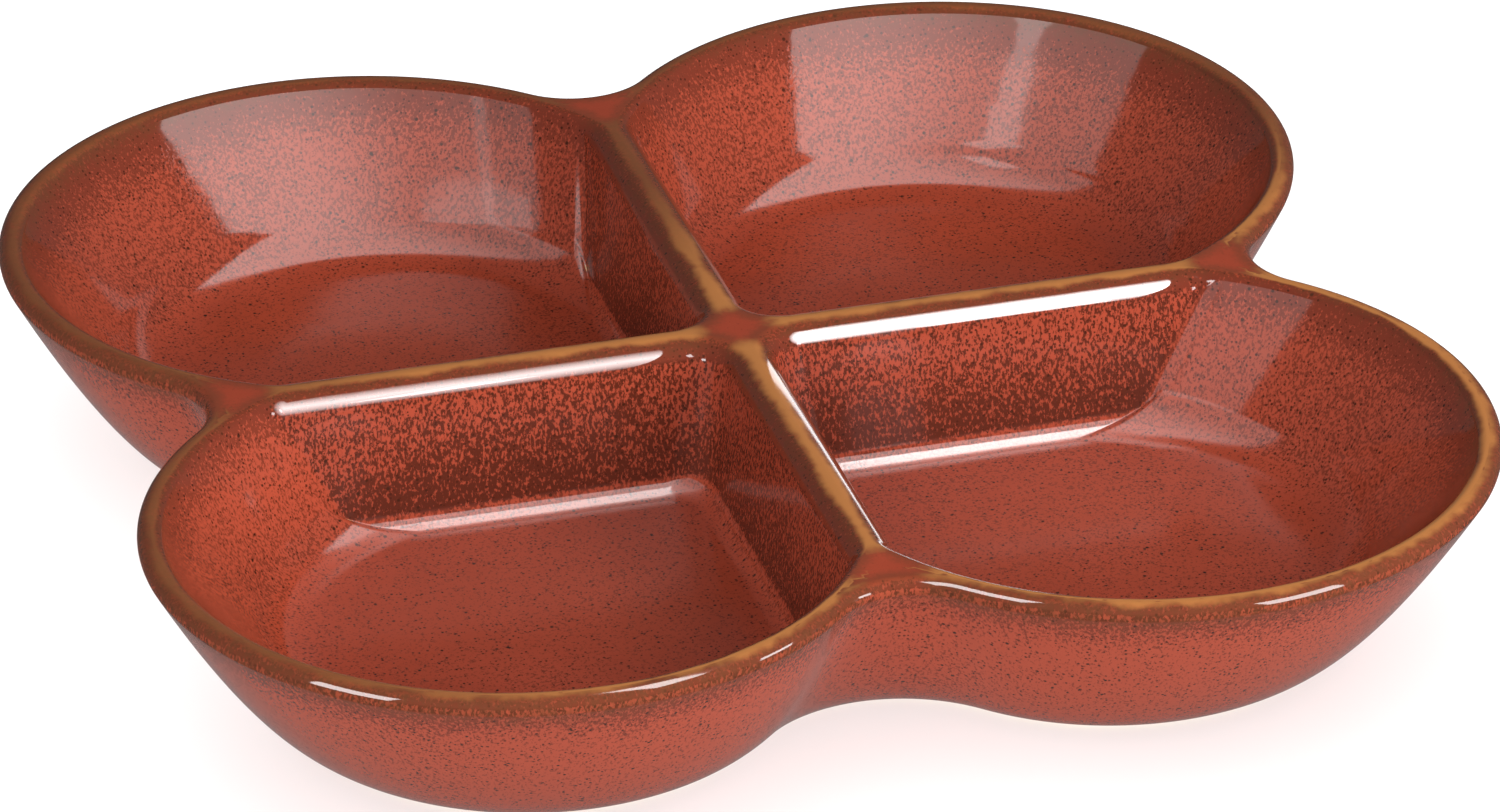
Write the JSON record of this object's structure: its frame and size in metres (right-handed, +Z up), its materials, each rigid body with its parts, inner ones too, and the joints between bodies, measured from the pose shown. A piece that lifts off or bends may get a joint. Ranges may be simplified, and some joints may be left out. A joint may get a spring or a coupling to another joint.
{
  "type": "divided serving dish",
  "caption": "Shallow four-lobed stoneware serving dish with cross dividers, glazed wells, an amber-edged lip and a bare foot ring.",
  "frame": {"origin": "on the table under the dish's centre, where the two dividers cross", "axes": "+Z up out of the wells; the dividers run along X and Y, and -Y is the front"},
  "size_m": [0.2498, 0.2498, 0.04],
  "materials": {
    "stoneware": "bare fired stoneware, matt",
    "rim_glaze": "glossy glaze, broken to honey brown over the edges",
    "well_glaze": "glossy brick-red glaze with dark brown speckle",
    "outside_glaze": "glossy brick-red glaze with dark brown streaks under the lip",
    "base_glaze": "satin brick-red glaze"
  },
  "bodies": {
    "root": {"stoneware_body": "stoneware", "rim_glaze": "rim_glaze", "outside_glaze": "outside_glaze", "well_glaze_back_right": "well_glaze", "well_glaze_back_left": "well_glaze", "well_glaze_front_left": "well_glaze", "well_glaze_front_right": "well_glaze", "base_glaze": "base_glaze"}
  },
  "joints": []
}
